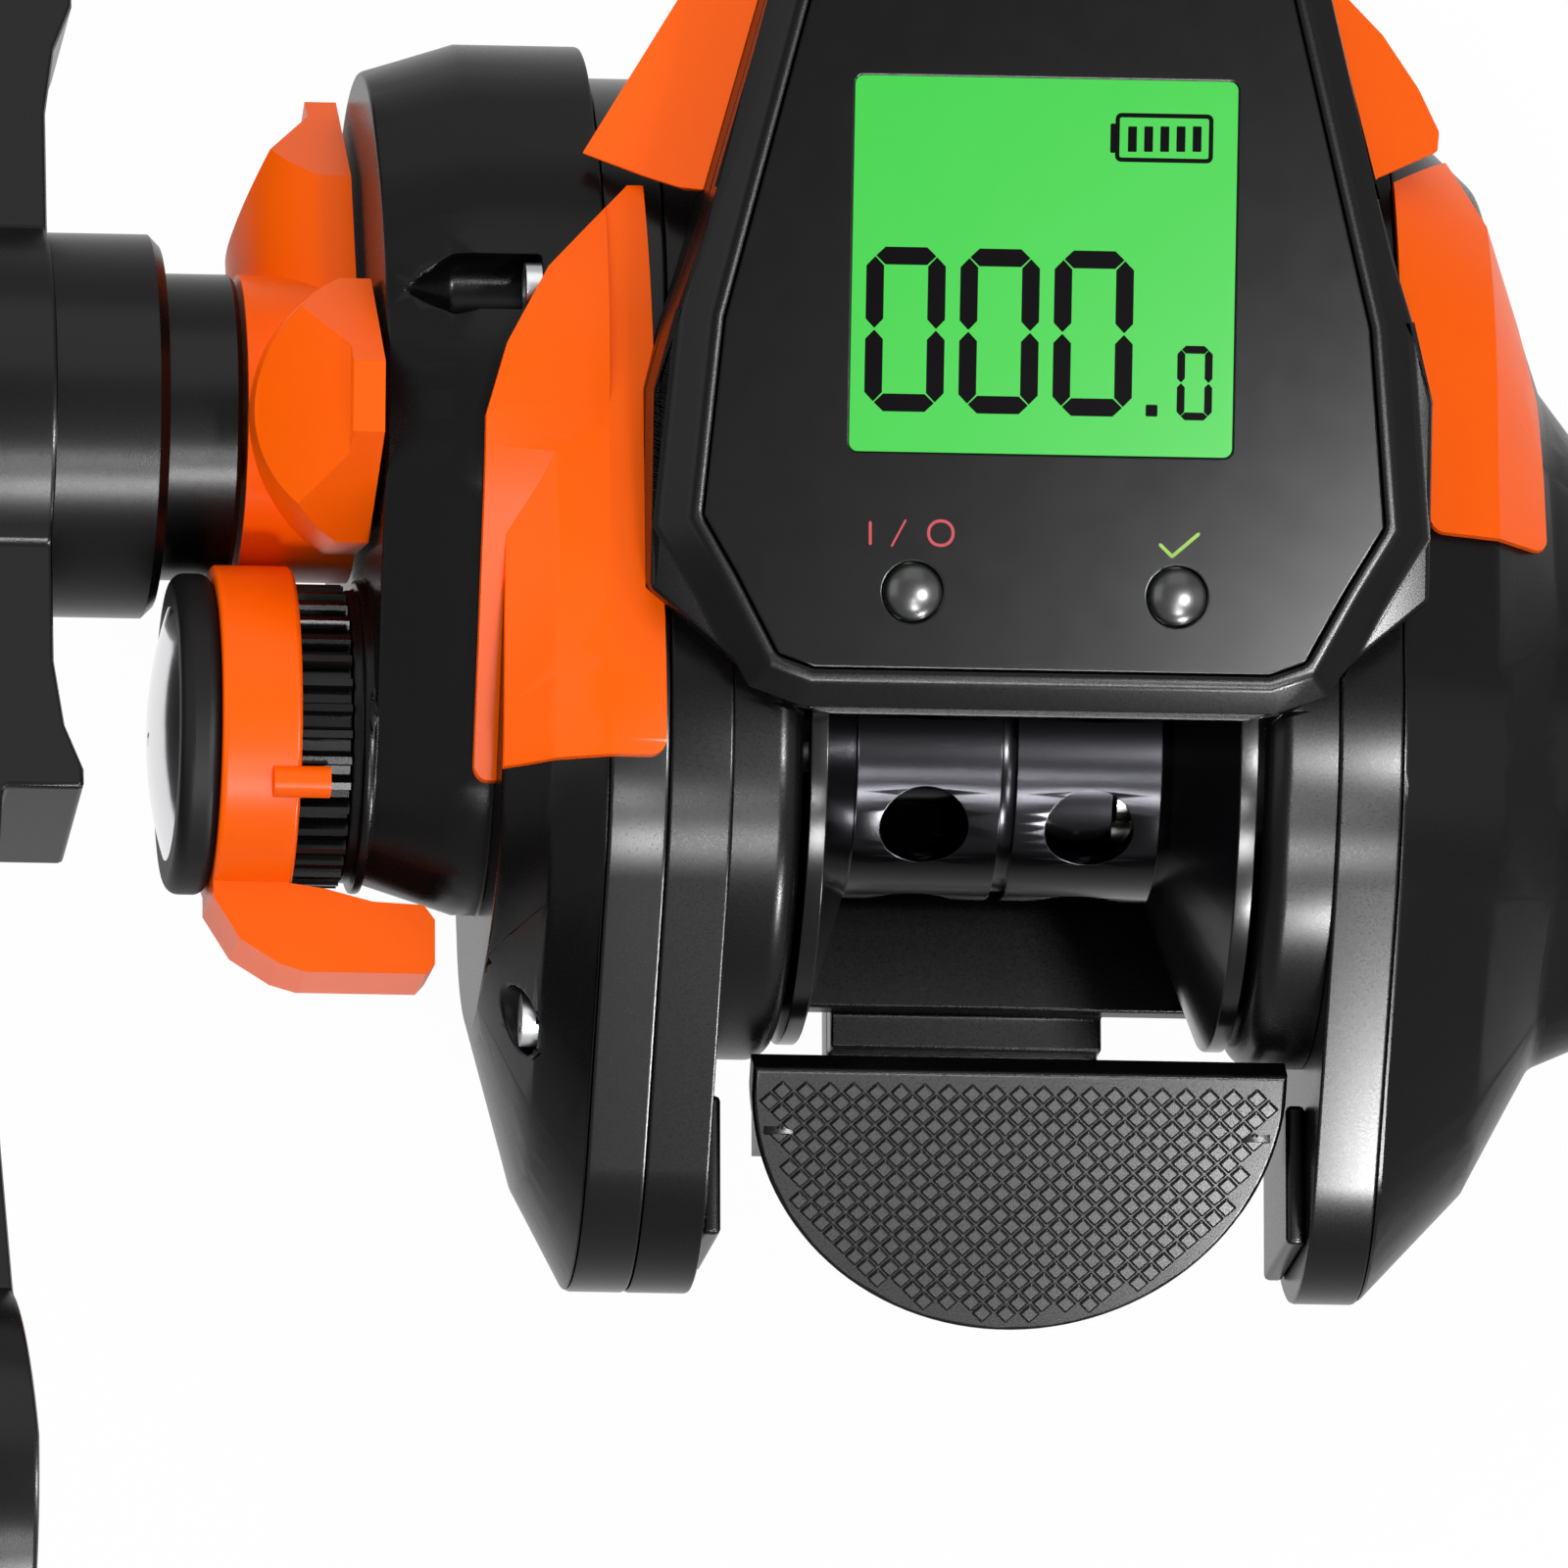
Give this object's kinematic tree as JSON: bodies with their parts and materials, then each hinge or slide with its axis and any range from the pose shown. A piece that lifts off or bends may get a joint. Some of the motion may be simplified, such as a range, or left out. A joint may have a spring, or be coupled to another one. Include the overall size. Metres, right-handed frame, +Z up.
{
  "type": "baitcasting reel",
  "caption": "Low-profile baitcasting reel with a lit line counter above the spool, a thumb bar and a left-hand crank.",
  "frame": {"origin": "middle of the reel foot's underside, where it rests on the rod's reel seat", "axes": "+X across the reel to the palm side, +Y forward to the rod tip, +Z up from the rod"},
  "size_m": [0.1262, 0.1534, 0.0561],
  "materials": {
    "black_body": "satin, fine orange-peel",
    "black_frame": "satin painted",
    "black_satin": "satin painted",
    "orange_gloss": "gloss",
    "black_gloss": "gloss",
    "display": "lit from behind",
    "spool_metal": "dark anodised",
    "steel": "brushed",
    "chrome": "polished",
    "brass": "machined",
    "bright_aluminium": "turned",
    "black_rubber": "matt",
    "knob_foam": "soft matt",
    "board": "lacquered",
    "nylon": "plain",
    "felt": "carbon cloth",
    "magnet": "plated"
  },
  "bodies": {
    "reel_body": {"frame": "black_frame", "reel_foot": "black_frame", "foot_screws": "steel", "cheeks": "black_body", "ball_bearings": "steel", "worm_bushes": "nylon", "ring_plate": "black_frame", "gear_cover": "black_body", "anti_reverse_bearing": "steel", "pinion_bearing": "steel", "guide_rod": "steel", "thumb_bar_guides": "black_body", "counter_bezel": "black_body", "face_panel": "black_gloss", "lcd_screen": "display", "circuit_board": "board", "tact_switches": "nylon", "counter_housing": "black_body", "counter_seal": "black_rubber", "battery": "bright_aluminium", "trim_rear_left": "orange_gloss", "trim_rear_right": "orange_gloss", "trim_front_left": "orange_gloss", "trim_front_right": "orange_gloss", "palm_cover": "black_body", "magnet_carrier": "nylon", "brake_magnets": "magnet", "cover_screws": "steel"},
    "handle": {"drive_shaft": "steel", "drive_gear": "brass", "drag_washers": "felt", "level_wind_gear": "nylon", "shaft_sleeve": "black_satin", "handle_hub": "black_satin", "handle_arm": "black_satin", "handle_nut": "black_satin", "nut_retainer": "bright_aluminium", "retainer_screw": "steel", "knob_posts": "steel"},
    "knob_front": {"front_knob": "knob_foam"},
    "knob_rear": {"rear_knob": "knob_foam"},
    "drag": {"drag_adjuster": "orange_gloss"},
    "spool_group": {"spool": "spool_metal", "spool_shaft": "steel", "brake_rotor": "bright_aluminium"},
    "yoke": {"clutch_yoke": "nylon"},
    "pinion_group": {"pinion": "brass"},
    "worm": {"worm_shaft": "steel", "worm_gear": "nylon"},
    "guide": {"line_guide": "black_body", "pawl": "brass"},
    "thumb": {"thumb_bar": "black_body"},
    "cast_control": {"cast_control_knob": "black_satin", "tension_lever": "orange_gloss", "control_disc": "black_rubber", "control_cap": "chrome"},
    "dial": {"brake_dial": "black_body"},
    "button_power": {"power_button": "black_rubber"},
    "button_set": {"set_button": "black_rubber"}
  },
  "joints": [
    {"name": "handle_spin", "type": "hinge", "parent": "reel_body", "child": "handle", "pos_m": [0, 0.0183, 0.02], "axis": [1, 0, 0], "continuous": true},
    {"name": "front_knob_spin", "type": "hinge", "parent": "handle", "child": "knob_front", "pos_m": [0, 0.0825, 0.00983], "axis": [1, 0, 0], "continuous": true},
    {"name": "rear_knob_spin", "type": "hinge", "parent": "handle", "child": "knob_rear", "pos_m": [0, -0.0459, 0.03017], "axis": [1, 0, 0], "continuous": true},
    {"name": "drag_turn", "type": "hinge", "parent": "reel_body", "child": "drag", "pos_m": [0, 0.0183, 0.02], "axis": [1, 0, 0], "range_deg": [-45, 0]},
    {"name": "spool_spin", "type": "hinge", "parent": "reel_body", "child": "spool_group", "pos_m": [0, 0, 0.023], "axis": [1, 0, 0], "continuous": true},
    {"name": "yoke_slide", "type": "slide", "parent": "reel_body", "child": "yoke", "axis": [-1, 0, 0], "range_m": [0, 0.0014]},
    {"name": "pinion_spin", "type": "hinge", "parent": "yoke", "child": "pinion_group", "pos_m": [0, 0, 0.023], "axis": [1, 0, 0], "continuous": true},
    {"name": "worm_spin", "type": "hinge", "parent": "reel_body", "child": "worm", "pos_m": [0, 0.0295, 0.017], "axis": [1, 0, 0], "continuous": true},
    {"name": "guide_slide", "type": "slide", "parent": "reel_body", "child": "guide", "axis": [1, 0, 0], "range_m": [-0.01, 0.01]},
    {"name": "thumb_press", "type": "slide", "parent": "reel_body", "child": "thumb", "axis": [0, 0, -1], "range_m": [0, 0.0045], "stiffness_N_per_m": 800, "springref_m": -0.002},
    {"name": "cast_control_turn", "type": "hinge", "parent": "reel_body", "child": "cast_control", "pos_m": [0, 0, 0.023], "axis": [1, 0, 0], "range_deg": [-35, 35]},
    {"name": "brake_dial_turn", "type": "hinge", "parent": "reel_body", "child": "dial", "pos_m": [0, 0.0005, 0.022], "axis": [1, 0, 0], "range_deg": [-135, 135]},
    {"name": "power_press", "type": "slide", "parent": "reel_body", "child": "button_power", "axis": [0, 0.1908, -0.9816], "range_m": [0, 0.0005], "stiffness_N_per_m": 1500, "springref_m": -0.0005},
    {"name": "set_press", "type": "slide", "parent": "reel_body", "child": "button_set", "axis": [0, 0.1908, -0.9816], "range_m": [0, 0.0005], "stiffness_N_per_m": 1500, "springref_m": -0.0005}
  ],
  "couplings": [
    {"joint": "spool_spin", "follows": "handle_spin", "ratio": -6.3077},
    {"joint": "pinion_spin", "follows": "handle_spin", "ratio": -6.3077},
    {"joint": "worm_spin", "follows": "handle_spin", "ratio": -1.3},
    {"joint": "yoke_slide", "follows": "thumb_press", "ratio": 0.311}
  ]
}
